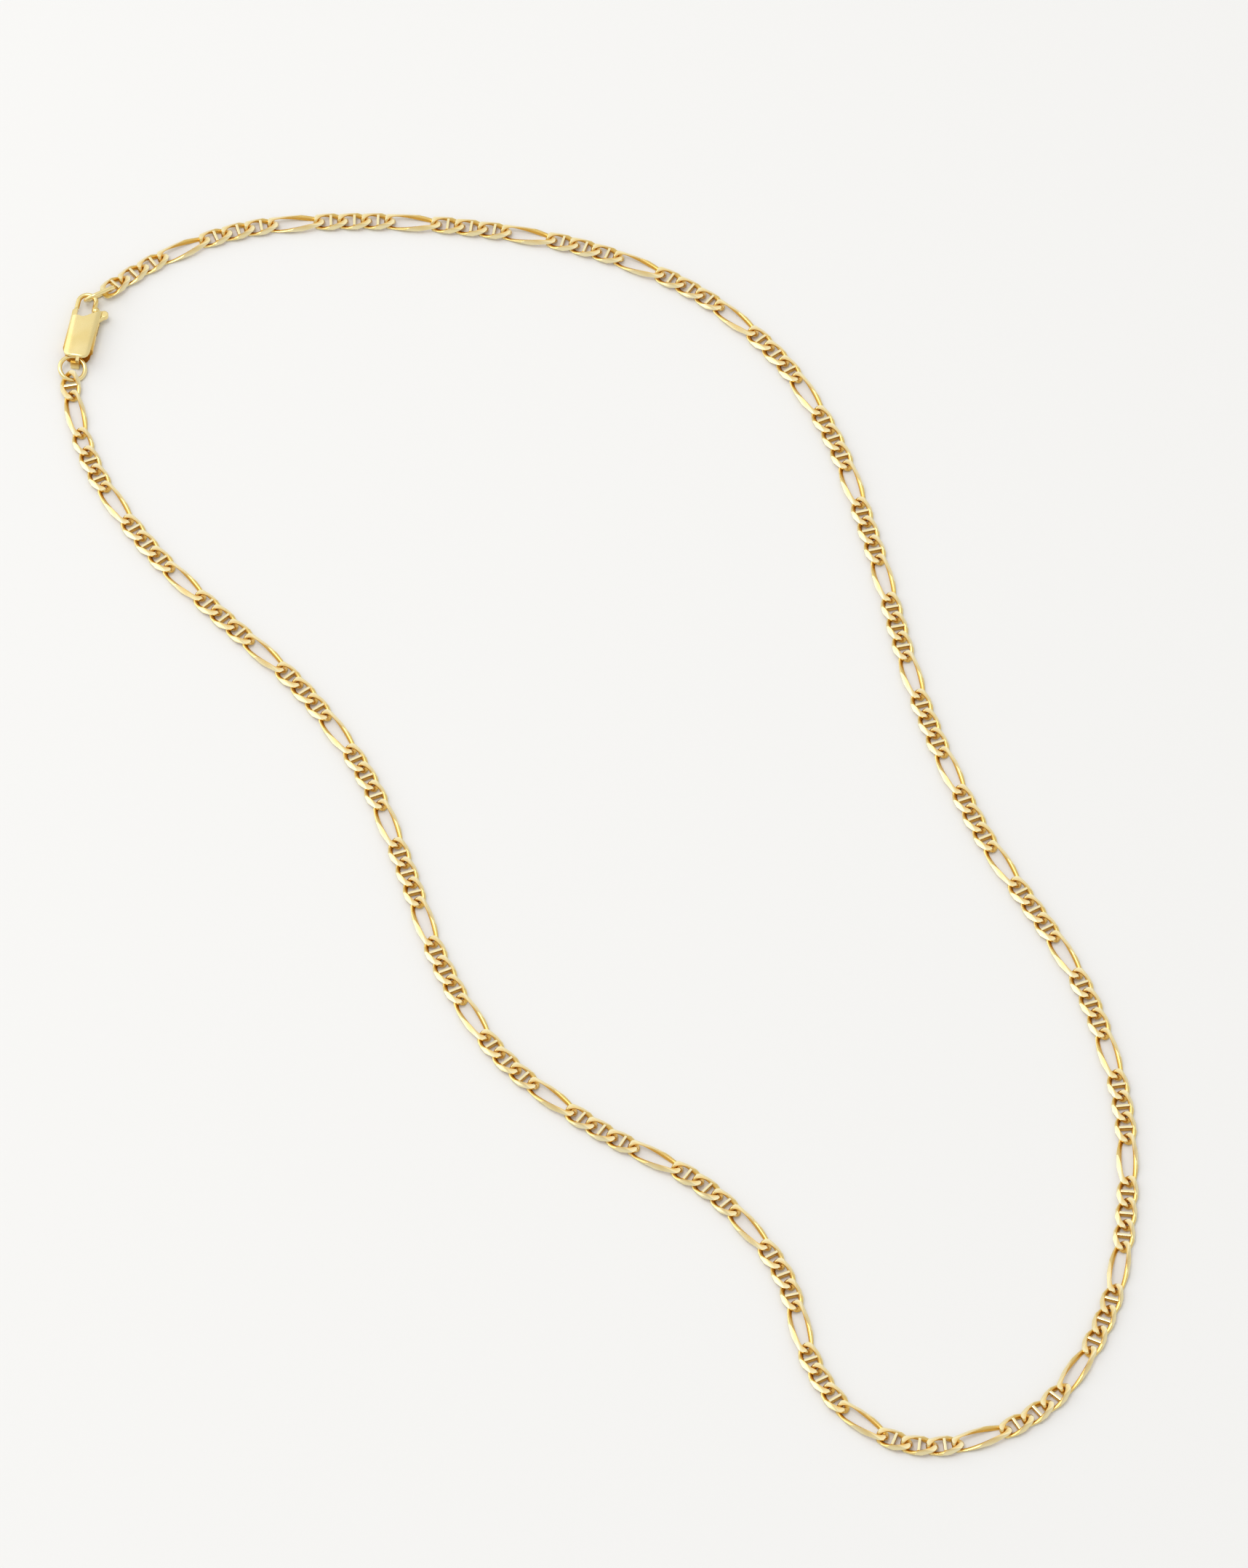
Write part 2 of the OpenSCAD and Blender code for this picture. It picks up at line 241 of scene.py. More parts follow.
def finished(name, bm, materials, body, replaced, merge=True):
    if merge:
        bmesh.ops.remove_doubles(bm, verts=bm.verts, dist=SAME_POINT)
        bmesh.ops.recalc_face_normals(bm, faces=bm.faces)
    bmesh.ops.scale(bm, vec=(MILLIMETRE,) * 3, verts=bm.verts)
    mesh = bpy.data.meshes.new(name)
    bm.to_mesh(mesh)
    bm.free()
    mesh.shade_smooth()
    mesh.set_sharp_from_angle(angle=CUT_EDGE)
    for material in materials:
        mesh.materials.append(material)
    piece = bpy.data.objects.new(name, mesh)
    bpy.context.scene.collection.objects.link(piece)
    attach(piece, body)
    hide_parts(replaced)
    print(name, "has", len(mesh.polygons), "faces")


# %% [markdown]
# ## One link
#
# A link is one wire bent to an oval with blunt ends, then twisted so that each end lies on edge inside its
# neighbours. Spinning a small circle gives a plain ring first, and each of its sections is then moved to
# its station on the oval, turned across the line and twisted. After that the flat faces and the slanting
# facets are cut with planes, just as the tool cuts them, and each cut is closed with a face.

# %% Sizes of the links, in millimetres
WIRE = 0.8
WIRE_SIDES = 14
HALF_WIDTH = 1.5
HALF_THICK = 0.55
LINK_PLAY = 0.12
OVAL_HALF = 1.2
NOSE = 1.9
BLUNTNESS = 2.6
END_TWIST = math.radians(45)
FACET_TILT = math.radians(50)
FACET_START = 0.05
PITCH = {"short": 3.5, "long": 6.9}
STATIONS = {"short": 28, "long": 40}
# The oval is drawn this finely before its stations are picked, and the wire is first spun at this radius.
FINE_STEPS = 1440
SPIN_RADIUS = 5
# How far the painted shade inside a blunt end reaches, and over what distance it fades out.
NOSE_LENGTH, NOSE_LENGTH_FADE = 1.4, 0.5
NOSE_HEIGHT, NOSE_HEIGHT_FADE = 0.5, 0.25
NOSE_WIDTH, NOSE_WIDTH_FADE = 1.15, 0.3


def oval_line(half_length, count):
    """Points and outward directions at equal steps along a link's oval."""
    turn = np.linspace(0, 2 * np.pi, FINE_STEPS + 1)[:-1] + np.pi / FINE_STEPS
    cos, sin = np.cos(turn), np.sin(turn)
    x = np.sign(cos) * (half_length - NOSE + NOSE * np.abs(cos) ** (2 / BLUNTNESS))
    y = np.sign(sin) * OVAL_HALF * np.abs(sin) ** (2 / BLUNTNESS)
    line = np.column_stack([x, y])
    run = np.concatenate([[0], np.cumsum(np.linalg.norm(np.diff(line, axis=0, append=line[:1]), axis=1))])
    line = np.vstack([line, line[:1]])
    steps = (np.arange(count) + 0.5) / count * run[-1]
    points = np.column_stack([np.interp(steps, run, line[:, k]) for k in range(2)])
    along = np.roll(points, -1, axis=0) - np.roll(points, 1, axis=0)
    along /= np.linalg.norm(along, axis=1)[:, None]
    return points, np.column_stack([along[:, 1], -along[:, 0]])


def cut_planes():
    """Normals and distances of the flat faces, the two sides and the four facets."""
    reach = HALF_WIDTH * math.cos(FACET_TILT) + FACET_START * math.sin(FACET_TILT)
    planes = [((0, 0, side), HALF_THICK) for side in (-1, 1)]
    planes += [((0, side, 0), HALF_WIDTH) for side in (-1, 1)]
    planes += [((0, side * math.cos(FACET_TILT), up * math.sin(FACET_TILT)), reach)
               for side in (-1, 1) for up in (-1, 1)]
    return planes


def half_length_of(kind):
    return (PITCH[kind] + WIRE + LINK_PLAY) / 2


def twisted_wire(kind):
    """A link's wire before it is cut. Its inner side gets the depth that paints it darker, as painted shade.
    """
    half_length = half_length_of(kind)
    count = STATIONS[kind]
    points, out = oval_line(half_length, count)
    bm = bmesh.new()
    start = Matrix.Translation((SPIN_RADIUS, 0, 0)) @ Matrix.Rotation(math.radians(90), 4, "X")
    bmesh.ops.create_circle(bm, segments=WIRE_SIDES, radius=WIRE / 2, matrix=start)
    bmesh.ops.spin(bm, geom=bm.verts[:] + bm.edges[:], cent=(0, 0, 0), axis=(0, 0, 1),
                   angle=2 * math.pi, steps=count, use_merge=True)
    depth = bm.verts.layers.float.new("depth")
    for v in bm.verts:
        station = round(math.atan2(v.co.y, v.co.x) / (2 * math.pi) * count) % count
        spread = math.hypot(v.co.x, v.co.y) - SPIN_RADIUS
        # depth is 0 on the wire's outer side and 1 on its inner side, where the darker gold is painted shade
        v[depth] = 0.5 - spread / WIRE
        x, y = points[station] + out[station] * spread
        twist = -END_TWIST * points[station][0] / half_length
        v.co = Vector((x, y * math.cos(twist) - v.co.z * math.sin(twist),
                       y * math.sin(twist) + v.co.z * math.cos(twist)))
    return bm


def shade_noses(bm, half_length):
    """The blunt ends sit inside their neighbours, and their parts there are painted darker, as painted
    shade.
    """
    depth = bm.verts.layers.float["depth"]
    for v in bm.verts:
        at_end = min(max((abs(v.co.x) - half_length + NOSE_LENGTH) / NOSE_LENGTH_FADE, 0), 1)
        below = min(max((NOSE_HEIGHT - abs(v.co.z)) / NOSE_HEIGHT_FADE, 0), 1)
        between = min(max((NOSE_WIDTH - abs(v.co.y)) / NOSE_WIDTH_FADE, 0), 1)
        # painted shade on the part of a blunt end that lies inside its neighbours
        v[depth] = max(v[depth], at_end * below * between)


def cut_link(bm):
    """Cuts the flats and facets. Their faces get the material with index 1."""
    for normal, reach in cut_planes():
        geometry = bm.verts[:] + bm.edges[:] + bm.faces[:]
        cut = bmesh.ops.bisect_plane(bm, geom=geometry, dist=ON_PLANE, plane_co=Vector(normal) * reach,
                                     plane_no=normal, clear_outer=True)
        rims = [e for e in cut["geom_cut"] if isinstance(e, bmesh.types.BMEdge)]
        closed = bmesh.ops.holes_fill(bm, edges=rims, sides=0)
        for face in closed["faces"]:
            face.material_index = 1


LINKS = {kind: twisted_wire(kind) for kind in PITCH}
for kind, bm in LINKS.items():
    cut_link(bm)
    shade_noses(bm, half_length_of(kind))
    bmesh.ops.recalc_face_normals(bm, faces=bm.faces)
    print(kind, "link:", len(bm.faces), "faces,", sum(not e.is_manifold for e in bm.edges), "open edges")

# %% [markdown]
# ## The crossbar
#
# Short links carry a thin blade across the middle, soldered into both sides. It is lower than the flats.
# A cube stretched to the blade's size, with its long edges rounded, is all that it needs. Below its rounded
# top it is painted in the darker inner gold, as painted shade under the bright top.

# %% Crossbar
BAR_WIDE = 0.42
BAR_HIGH = 0.84
BAR_SPAN = 1.9
BAR_EDGE = 0.09


def crossbar():
    bm = bmesh.new()
    bmesh.ops.create_cube(bm, size=1)
    bmesh.ops.scale(bm, vec=(BAR_WIDE, BAR_SPAN, BAR_HIGH), verts=bm.verts)
    long_edges = [e for e in bm.edges if abs(e.verts[0].co.y - e.verts[1].co.y) > 1]
    bmesh.ops.bevel(bm, geom=long_edges, affect="EDGES", offset=BAR_EDGE, segments=2, profile=0.5,
                    material=-1)
    for face in bm.faces:
        face.material_index = 2
    depth = bm.verts.layers.float.new("depth")
    for v in bm.verts:
        # painted shade: the bar's sides and underside below its rounded top get depth 1
        v[depth] = float(v.co.z < BAR_HIGH / 2 - BAR_EDGE / 2)
    return bm


BAR = crossbar()
print("crossbar:", len(BAR.faces), "faces")

# %% [markdown]
# ## The chain
#
# The model already lays every link between its neighbours on the loop. A link is the same after half a
# turn about any of its own three axes, so the main axes of its solid are enough to place a copy: the
# longest is the link's length, the next its width and the shortest its thickness.

# %% Places of the links
def islands(node):
    """The loose solids of a node, as arrays of points in millimetres with their number of faces."""
    bm = bmesh.new()
    bm.from_mesh(nodes[node].data)
    bmesh.ops.remove_doubles(bm, verts=bm.verts, dist=1e-7)
    found = []
    left = set(bm.verts)
    while left:
        front = [left.pop()]
        members = list(front)
        while front:
            for edge in front.pop().link_edges:
                for v in edge.verts:
                    if v in left:
                        left.discard(v)
                        front.append(v)
                        members.append(v)
        points = np.array([v.co for v in members]) / MILLIMETRE
        faces = len({f for v in members for f in v.link_faces})
        found.append((points, faces))
    bm.free()
    return found


def main_axes(points):
    """A matrix from a shape's own frame to the loop's, and its size along its own axes."""
    middle = points.mean(axis=0)
    _, axes = np.linalg.eigh(np.cov((points - middle).T))
    x, z = Vector(axes[:, 2]), Vector(axes[:, 0])
    if z.z < 0:
        z.negate()
    y = z.cross(x)
    turn = Matrix((x, y, z)).transposed()
    along = (points - middle) @ np.array(turn)
    middle = middle + np.array(turn) @ ((along.max(axis=0) + along.min(axis=0)) / 2)
    return Matrix.Translation(middle) @ turn.to_4x4(), np.ptp(along, axis=0)


# A link's solid with a crossbar has more faces than this, and a long link's solid is longer than this.
PLAIN_FACES = 120
LONG_FROM = 6


def chain(node):
    """One detailed link for each loose solid of a node."""
    bm = bmesh.new()
    counts = {"short": 0, "long": 0, "bars": 0}
    for points, faces in islands(node):
        place, size = main_axes(points)
        kind = "long" if size[0] > LONG_FROM else "short"
        counts[kind] += 1
        parts = [LINKS[kind]]
        if faces > PLAIN_FACES:
            parts.append(BAR)
            counts["bars"] += 1
        for part in parts:
            mesh = bpy.data.meshes.new("part")
            part.to_mesh(mesh)
            mesh.transform(place)
            bm.from_mesh(mesh)
            bpy.data.meshes.remove(mesh)
    print(node, counts)
    return bm


for node in ("chain_lower", "chain_upper"):
    finished(node.replace("chain", "links"), chain(node), [wire_gold, cut_gold, bar_gold],
             "necklace", node, merge=False)

# %% [markdown]
# ## The two rings
#
# The jump ring at the clasp's base is a round ring of round wire, and the end ring is a thinner wire bent
# to an oval. Both are a circle spun round. The oval's halves are then drawn apart by its straight length.

# %% Rings
RING_STEPS = 64
RING_SIDES = 16


def ring(width, straight, wire):
    bm = bmesh.new()
    start = Matrix.Translation(((width - wire) / 2, 0, 0)) @ Matrix.Rotation(math.radians(90), 4, "X")
    bmesh.ops.create_circle(bm, segments=RING_SIDES, radius=wire / 2, matrix=start)
    bmesh.ops.spin(bm, geom=bm.verts[:] + bm.edges[:], cent=(0, 0, 0), axis=(0, 0, 1),
                   angle=2 * math.pi, steps=RING_STEPS, use_merge=True)
    if straight:
        middle = bmesh.ops.bisect_plane(bm, geom=bm.verts[:] + bm.edges[:] + bm.faces[:], dist=ON_PLANE,
                                        plane_co=(0, 0, 0), plane_no=(1, 0, 0))["geom_cut"]
        seam = [e for e in middle if isinstance(e, bmesh.types.BMEdge)]
        bmesh.ops.split_edges(bm, edges=seam)
        for v in bm.verts:
            side = sum(f.calc_center_median().x for f in v.link_faces)
            v.co.x += math.copysign(straight / 2, side)
        rims = [e for e in bm.edges if e.is_boundary]
        bmesh.ops.bridge_loops(bm, edges=[e for e in rims if e.verts[0].co.y > 0])
        bmesh.ops.bridge_loops(bm, edges=[e for e in rims if e.verts[0].co.y < 0])
    return bm


def ring_place(node):
    points = np.array([v.co for v in nodes[node].data.vertices]) / MILLIMETRE
    return main_axes(points)[0]


for node, width, straight, wire in (("jump_ring", 4.4, 0, 0.65), ("end_ring", 3.4, 1.8, 0.6)):
    bm = ring(width, straight, wire)
    bmesh.ops.transform(bm, matrix=ring_place(node), verts=bm.verts)
    finished(node + "_wire", bm, [wire_gold], "necklace", node)

# %% [markdown]
# ## The clasp
#
# A trigger clasp is stamped and folded: a smooth body with a section like a lens, a hook that bends round
# from its right shoulder, and a slot in which the lever turns. The body starts as its outline, is drawn up
# to its thickness and gets round edges. Thin strips across it let it be bent to the lens. The long opening
# of the hook, the lever's slot and the channel at the base are then cut out, as a maker would mill them.

# %% Clasp sizes, in millimetres, and its place
BODY_W = 4.4
BODY_T = 2.4
MIDDLE = BODY_T / 2
CORNER = 1.5
SHOULDER = 7.5
TALL = 11.5
SLANT = ((0.2, 7.5), (2.2, 9.1))
BACK_HORN = ((2.2, 7.5), (1.75, 9.9))
HOOK_AT = (-0.42, 10.75)
HOLE = 0.95
HOLE_LOW = (-0.42, 8.25)
HOOK_WIRE = 0.7
HOOK_RADIUS = HOLE + HOOK_WIRE / 2
HOOK_ROOT = 9.35
TIP_DROP = 1.85
PIVOT = (0.3, 6.2)
LEVER_T = 0.86
SLOT = 0.96
SLOT_FLOOR = 4.6
CHANNEL = (1.56, 1.75)
GATE_REACH = 3.6
SEAM = 0.08
CLASP_TURN = math.radians(-9.5)
# Cutters run past the body's sides and its top by these, and past a face that they share by the last.
SIDE, TOP, OVERRUN = 4, 13, 0.01

hinge = Vector(frame["joints"][0]["pos_m"]) / MILLIMETRE
on_clasp = (Matrix.Translation((hinge.x, hinge.y, 0)) @ Matrix.Rotation(CLASP_TURN, 4, "Z")
            @ Matrix.Translation((-PIVOT[0], -PIVOT[1], 0)))
print("clasp base at", [round(c, 2) for c in on_clasp.translation])


def block(low, high):
    """A box between two corners."""
    bm = bmesh.new()
    bmesh.ops.create_cube(bm, size=1)
    size = [b - a for a, b in zip(low, high)]
    bmesh.ops.scale(bm, vec=size, verts=bm.verts)
    bmesh.ops.translate(bm, vec=[(a + b) / 2 for a, b in zip(low, high)], verts=bm.verts)
    return bm


def prism(corners, low, high):
    """A plan outline drawn up from one height to another."""
    bm = bmesh.new()
    base = bm.faces.new([bm.verts.new((x, y, low)) for x, y in corners])
    top = bmesh.ops.extrude_face_region(bm, geom=[base])["geom"]
    lifted = [v for v in top if isinstance(v, bmesh.types.BMVert)]
    bmesh.ops.translate(bm, vec=(0, 0, high - low), verts=lifted)
    bmesh.ops.recalc_face_normals(bm, faces=bm.faces)
    return bm


def drum(at, low, high, radius, segments=64):
    """A cylinder that stands on the plan point at."""
    bm = bmesh.new()
    bmesh.ops.create_cone(bm, cap_ends=True, segments=segments, radius1=radius, radius2=radius,
                          depth=high - low)
    bmesh.ops.translate(bm, vec=(at[0], at[1], (low + high) / 2), verts=bm.verts)
    return bm


ROUND_FROM = math.radians(40)


def rounded(bm, width):
    """Rounds the edges of a shape that turn by more than ROUND_FROM."""
    bmesh.ops.recalc_face_normals(bm, faces=bm.faces)
    sharp = [e for e in bm.edges if e.calc_face_angle(0) > ROUND_FROM]
    bmesh.ops.bevel(bm, geom=sharp, affect="EDGES", offset=width, segments=3, profile=0.5, material=-1,
                    clamp_overlap=True)
    return bm


def temporary(name, bm):
    mesh = bpy.data.meshes.new(name)
    bm.to_mesh(mesh)
    bm.free()
    made = bpy.data.objects.new(name, mesh)
    bpy.context.scene.collection.objects.link(made)
    return made


def combined(bm, others, operation):
    """Cuts others from a shape, or joins them to it, one after the other."""
    for other in others:
        work, tool = temporary("work", bm), temporary("tool", other)
        step = work.modifiers.new("combine", "BOOLEAN")
        step.operation = operation
        step.solver = "EXACT"
        step.object = tool
        bpy.context.view_layer.update()
        shape = work.evaluated_get(bpy.context.evaluated_depsgraph_get())
        bm = bmesh.new()
        bm.from_mesh(shape.data)
        for used in (work, tool):
            mesh = used.data
            bpy.data.objects.remove(used)
            bpy.data.meshes.remove(mesh)
    bmesh.ops.remove_doubles(bm, verts=bm.verts, dist=SAME_POINT)
    bmesh.ops.dissolve_limit(bm, angle_limit=math.radians(0.5), verts=bm.verts, edges=bm.edges)
    return bm


# %% [markdown]
# The body's plan has round lower corners and runs on past the shoulders, because the cutters that follow
# shape its top. Its front face is domed and rolls off a little more near its sides. The back is flat in the
# middle and rises towards the sides.

# %% Clasp body: outline, round edges and lens section
def body_outline():
    """The corners of the body's plan, anticlockwise, with round lower corners."""
    half = BODY_W / 2
    turn = [math.radians(a) for a in range(0, 91, 10)]
    left = [(CORNER - half - CORNER * math.cos(a), CORNER - CORNER * math.sin(a)) for a in turn]
    right = [(half - CORNER + CORNER * math.sin(a), CORNER - CORNER * math.cos(a)) for a in turn]
    return left + right + [(half, TALL), (-half, TALL)]


DOME = 6
BACK_FLAT = 1.3
BACK_RISE = 0.5
ROLL = 0.15
ROLL_FROM = 1.2
FRONT_EDGE = 0.35
BACK_EDGE = 0.8
STRIPS = 44


def lens(x, z):
    """Height of a point of the plain block after the block is bent to a lens."""
    if z > MIDDLE:
        drop = DOME - math.sqrt(DOME ** 2 - x ** 2) + ROLL * max(0, abs(x) - ROLL_FROM) ** 2
        return z - drop * (z - MIDDLE) / MIDDLE
    rise = BACK_RISE * max(0, abs(x) - BACK_FLAT) / (BODY_W / 2 - BACK_FLAT)
    return z + rise * (MIDDLE - z) / MIDDLE


def body_form():
    bm = prism(body_outline(), 0, BODY_T)
    for height, offset in ((BODY_T, FRONT_EDGE), (0, BACK_EDGE)):
        rim = [e for e in bm.edges if all(abs(v.co.z - height) < 1e-6 for v in e.verts)]
        bmesh.ops.bevel(bm, geom=rim, affect="EDGES", offset=offset, segments=5, profile=0.5,
                        material=-1, clamp_overlap=True)
    for x in np.linspace(-BODY_W / 2, BODY_W / 2, STRIPS + 1)[1:-1]:
        bmesh.ops.bisect_plane(bm, geom=bm.verts[:] + bm.edges[:] + bm.faces[:], dist=ON_PLANE,
                               plane_co=(x, 0, 0), plane_no=(1, 0, 0))
    for v in bm.verts:
        v.co.z = lens(v.co.x, v.co.z)
    return bm


def body_cutters():
    low, high = MIDDLE - SLOT / 2, MIDDLE + SLOT / 2
    right_edge = HOLE_LOW[0] + HOLE
    wire_top = MIDDLE + HOOK_WIRE / 2
    above_slant = [(-SIDE, SHOULDER), *SLANT, (SIDE, SLANT[1][1]), (SIDE, TOP), (-SIDE, TOP)]
    inside_horn = [(-SIDE, SHOULDER), (right_edge, SHOULDER), (right_edge, TOP), (-SIDE, TOP)]
    outside_horn = [(SIDE, BACK_HORN[0][1]), (SIDE, TOP), (BACK_HORN[1][0], TOP), *BACK_HORN[::-1]]
    return [
        prism(above_slant, wire_top, SIDE),
        prism(inside_horn, -1, wire_top + OVERRUN),
        prism(outside_horn, -1, wire_top + OVERRUN),
        block((0, BACK_HORN[1][1] - 0.2, -1), (SIDE, TOP, SIDE)),
        drum(HOLE_LOW, -1, BODY_T + 1, HOLE),
        block((HOLE_LOW[0] - HOLE, HOLE_LOW[1], -1), (HOLE_LOW[0] + HOLE, 12, BODY_T + 1)),
        block((-SIDE, SLOT_FLOOR, low), (SIDE, TOP, high)),
        block((-SIDE, -SIDE, MIDDLE - CHANNEL[0] / 2), (SIDE, CHANNEL[1], MIDDLE + CHANNEL[0] / 2)),
    ]


body = combined(body_form(), body_cutters(), "DIFFERENCE")
print("clasp body:", len(body.faces), "faces")


# %% [markdown]
# The hook is round wire: a circle spun through half a turn, with its ends drawn down. Its left end stops
# just above the lever's gate, at a seam that follows the gate's swing, and its right end runs on into the
# body. The base post is a narrow tongue that holds the jump ring: it leaves the back, turns up in front of
# the ring and joins the front again.

# %% Hook and base post
HOOK_SIDES = 24
HOOK_STEPS = 36
SWELL_RADII = (0.6, 0.62, 0.72)
SWELL_AT = (1.13, 9.42, 0.92)
RIVET = 0.5
RIVET_LAP = 0.2


def hook():
    bm = bmesh.new()
    start = Matrix.Translation((HOOK_RADIUS, 0, 0)) @ Matrix.Rotation(math.radians(90), 4, "X")
    bmesh.ops.create_circle(bm, segments=HOOK_SIDES, radius=HOOK_WIRE / 2, matrix=start)
    bmesh.ops.spin(bm, geom=bm.verts[:] + bm.edges[:], cent=(0, 0, 0), axis=(0, 0, 1),
                   angle=math.pi, steps=HOOK_STEPS)
    for side, drop in ((1, HOOK_AT[1] - HOOK_ROOT), (-1, TIP_DROP)):
        rim = [e for e in bm.edges if e.is_boundary and e.verts[0].co.x * side > 0]
        drawn = bmesh.ops.extrude_edge_only(bm, edges=rim)["geom"]
        ends = [v for v in drawn if isinstance(v, bmesh.types.BMVert)]
        bmesh.ops.translate(bm, vec=(0, -drop, 0), verts=ends)
        opened = [e for e in bm.edges if e.is_boundary and e.verts[0] in ends]
        bmesh.ops.holes_fill(bm, edges=opened, sides=0)
    bmesh.ops.recalc_face_normals(bm, faces=bm.faces)
    bmesh.ops.translate(bm, vec=(*HOOK_AT, MIDDLE), verts=bm.verts)
    return bm


def root_swell():
    """The metal swells where the hook's wire grows out of the back of the right shoulder."""
    bm = bmesh.new()
    bmesh.ops.create_uvsphere(bm, u_segments=32, v_segments=20, radius=1)
    bmesh.ops.scale(bm, vec=SWELL_RADII, verts=bm.verts)
    bmesh.ops.translate(bm, vec=SWELL_AT, verts=bm.verts)
    return bm


def post_parts():
    """The post's foot, upright, tip and top strip, as corners in millimetres, then rivet and swelling."""
    ceiling = MIDDLE + CHANNEL[0] / 2
    return [
        block((-0.65, -0.6, 0), (0.65, 0.45, 0.5)),
        rounded(block((-0.65, -0.75, 0), (0.65, -0.25, 1.6)), 0.12),
        rounded(block((0.15, -0.74, 1.4), (0.64, -0.26, ceiling + 0.22)), 0.06),
        block((0.16, -0.73, ceiling - 0.05), (0.63, 0.45, ceiling + 0.22)),
        drum(PIVOT, MIDDLE - SLOT / 2 - RIVET_LAP, MIDDLE + SLOT / 2 + RIVET_LAP, RIVET, segments=32),
        root_swell(),
    ]


swing = combined(drum(PIVOT, 0, BODY_T, GATE_REACH + SEAM, segments=128),
                 [block((HOOK_AT[0], -5, -1), (9, 15, 4))], "DIFFERENCE")
trimmed_hook = combined(hook(), [swing], "DIFFERENCE")
clasp = combined(body, [trimmed_hook, *post_parts()], "UNION")
print("clasp with its hook:", len(clasp.faces), "faces")

# %% [markdown]
# The inner wall of the hook and the inside of the base are painted in a darker gold, as painted shade. A
# point's depth there comes from how close it lies to the opening, or how far it lies inside the channel.

# %% Depth of the clasp's inner sides
HOOK_SHADE_FADE = 0.3


def paint_inner_shade(bm):
    depth = bm.verts.layers.float.new("depth")
    for v in bm.verts:
        x, y, z = v.co
        along = min(max(y, HOLE_LOW[1]), HOOK_AT[1])
        # painted shade fades out over this distance from the hook's inner wall
        from_hole = math.hypot(x - HOOK_AT[0], y - along) - HOLE
        in_hole = (1 - from_hole / HOOK_SHADE_FADE) * (abs(z - MIDDLE) < HOOK_WIRE / 2)
        in_channel = y < CHANNEL[1] + OVERRUN and abs(z - MIDDLE) < CHANNEL[0] / 2 + OVERRUN
        v[depth] = 1.0 if in_channel else min(max(in_hole, 0), 1)


paint_inner_shade(clasp)
bmesh.ops.transform(clasp, matrix=on_clasp, verts=clasp.verts)
finished("clasp_shell", clasp, [clasp_gold], "necklace", "clasp_body")

# %% [markdown]
# ## The lever
#
# The lever turns on the rivet inside the slot. Its arm on the left closes the hook, and its tab on the
# right is what the thumb pulls. It is one flat piece. Its arm, web and tab get round edges before they are
# joined, because stamped metal never has a razor edge, and a round one catches a thin line of light.

# %% Lever
GATE_X = -1.83
GATE_HALF = 0.37
HUB = 1.25
TAB_AT = (2.5, 8.75)
TAB = 0.65
EYE = RIVET + 0.05
HEEL = PIVOT[1] - 0.4
WEB_THINNER = 0.06
ARM_EDGE, WEB_EDGE, TAB_EDGE = 0.1, 0.15, 0.22


def lever():
    low, high = MIDDLE - LEVER_T / 2, MIDDLE + LEVER_T / 2
    reach = drum(PIVOT, low - 1, high + 1, GATE_REACH, segments=128)
    arm = block((GATE_X - GATE_HALF, HEEL, low), (GATE_X + GATE_HALF, PIVOT[1] + 5, high))
    arm = rounded(combined(arm, [reach], "INTERSECT"), ARM_EDGE)
    heel = block((GATE_X - GATE_HALF, HEEL, low), (PIVOT[0], PIVOT[1] + 0.6, high))
    web = prism(((PIVOT[0], PIVOT[1] - 0.5), (TAB_AT[0] + 0.2, TAB_AT[1] - 0.6),
                 (TAB_AT[0] - 0.2, TAB_AT[1] + 0.6), (PIVOT[0], PIVOT[1] + 1)),
                low + WEB_THINNER, high - WEB_THINNER)
    tab = rounded(drum(TAB_AT, low, high, TAB), TAB_EDGE)
    whole = combined(arm, [heel, drum(PIVOT, low, high, HUB), rounded(web, WEB_EDGE), tab], "UNION")
    return combined(whole, [drum(PIVOT, low - 1, high + 1, EYE, segments=32)], "DIFFERENCE")


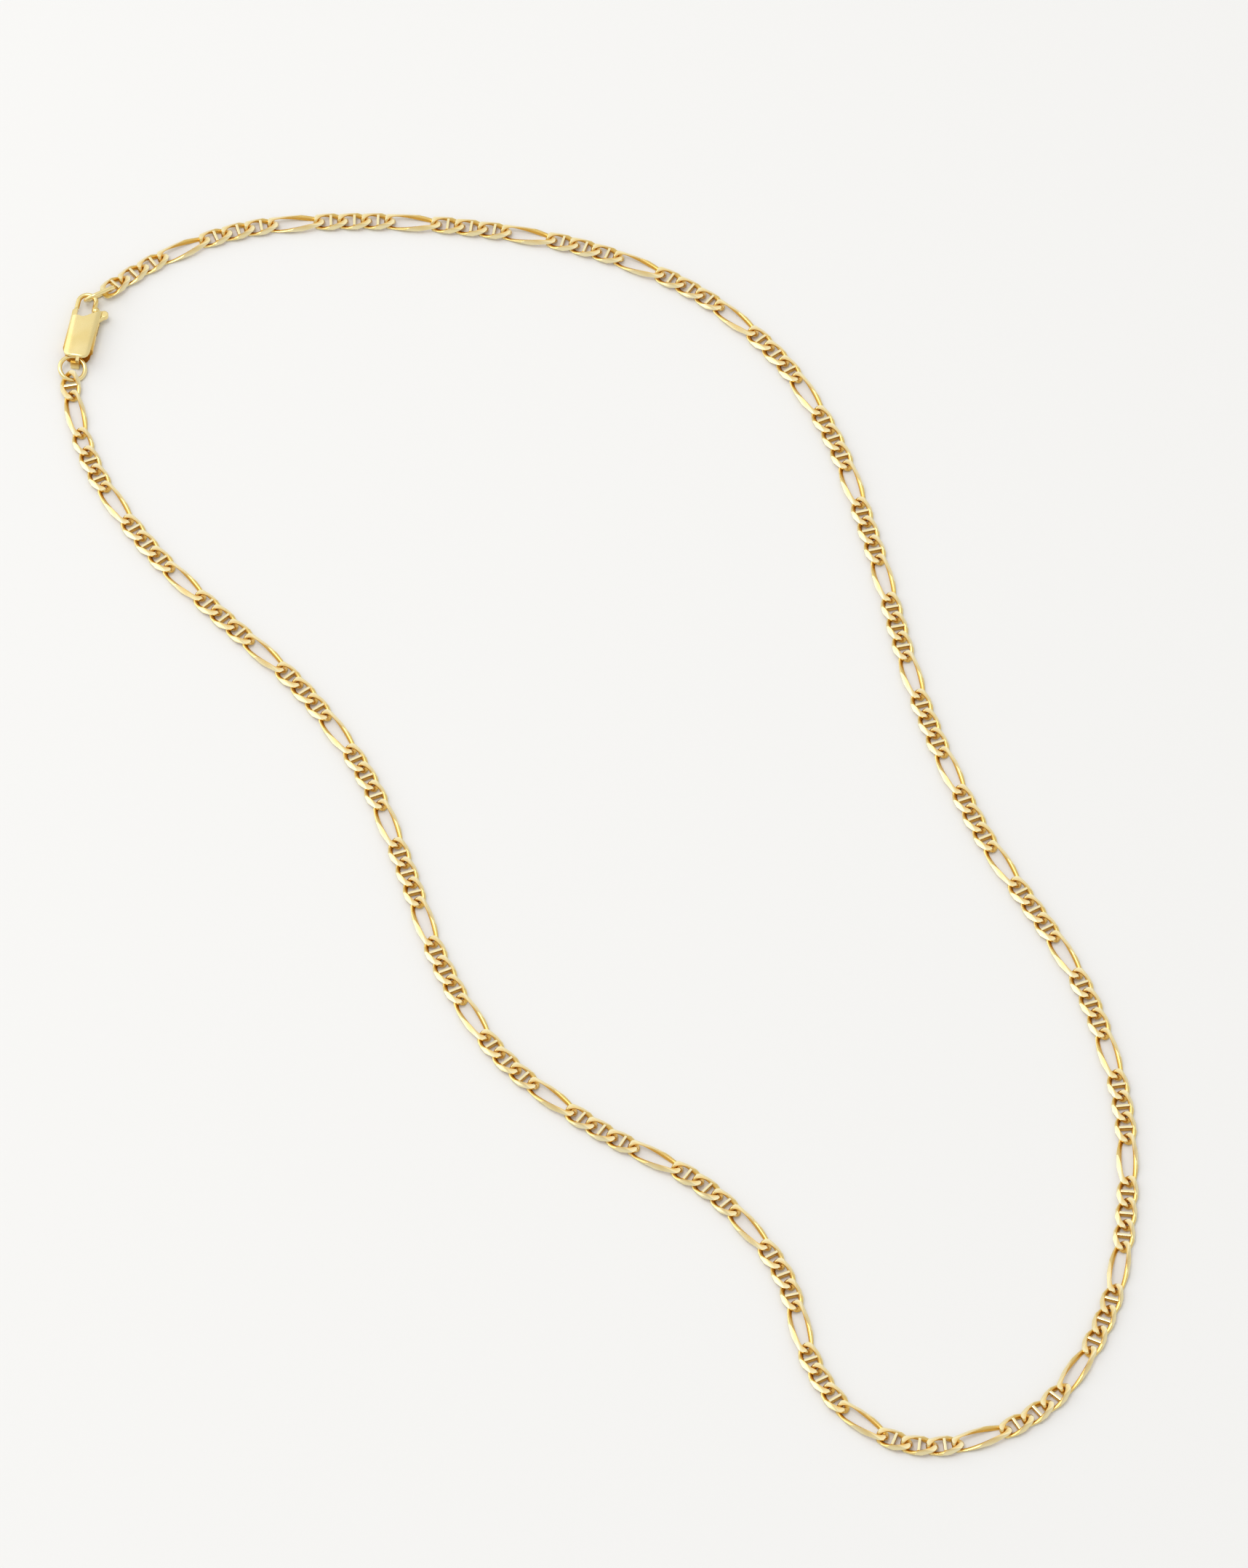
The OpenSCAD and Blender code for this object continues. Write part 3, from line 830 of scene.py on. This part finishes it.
lever_mesh = lever()
bmesh.ops.transform(lever_mesh, matrix=on_clasp, verts=lever_mesh.verts)
finished("clasp_trigger", lever_mesh, [lever_gold], "lever", "clasp_lever")

# %% [markdown]
# ## Table and light
#
# The photograph was made on a white table under broad soft light, strongest from the left. Polished metal
# shows what it mirrors, so each light stands where one kind of face looks. The left facets mirror a low wide
# window, and the flat faces a board behind the loop. The key light hangs where only round wire mirrors it,
# as a thin line, and it gives the table most of its brightness.

# %% Table
TABLE_HALF = 3
# The table lies this far below the loop, in metres, so that no two faces coincide.
TABLE_DROP = 0.00002

floor_bm = bmesh.new()
bmesh.ops.create_grid(floor_bm, x_segments=1, y_segments=1, size=TABLE_HALF)
floor_mesh = bpy.data.meshes.new("table")
floor_bm.to_mesh(floor_mesh)
floor_bm.free()
floor_mesh.transform(Matrix.Translation((0, 0, -TABLE_DROP)))
floor = bpy.data.objects.new("table", floor_mesh)
bpy.context.scene.collection.objects.link(floor)
table_look = Look("white_table")
table_look.surface.inputs["Base Color"].default_value = (0.80, 0.80, 0.795, 1)
table_look.surface.inputs["Roughness"].default_value = 0.75
floor_mesh.materials.append(table_look.material)

# %% [markdown]
# Each light is a soft round panel that faces the middle of the loop. The world gives what light is left.

# %% Light
def panel(name, at, size, power, color):
    """A soft round light that faces the middle of the loop."""
    data = bpy.data.lights.new(name, "AREA")
    data.shape = "DISK"
    data.size = size
    data.energy = power
    data.color = color
    light = bpy.data.objects.new(name, data)
    light.location = at
    light.rotation_euler = (-Vector(at)).to_track_quat("-Z", "Y").to_euler()
    bpy.context.scene.collection.objects.link(light)


panel("window", (-1.04, 0.45, 0.65), 1.3, 4.2, (1, 0.99, 0.97))
panel("back_board", (0.0, 0.7, 1.2), 1.4, 1.0, (1, 1, 1))
panel("key", (-0.35, -0.05, 1.45), 0.8, 6.2, (1, 1, 1))
world = bpy.data.worlds.new("studio")
world.use_nodes = True
world.node_tree.nodes["Background"].inputs["Color"].default_value = (1, 0.99, 0.97, 1)
world.node_tree.nodes["Background"].inputs["Strength"].default_value = 0.76
bpy.context.scene.world = world
bpy.context.scene.view_settings.view_transform = "Standard"
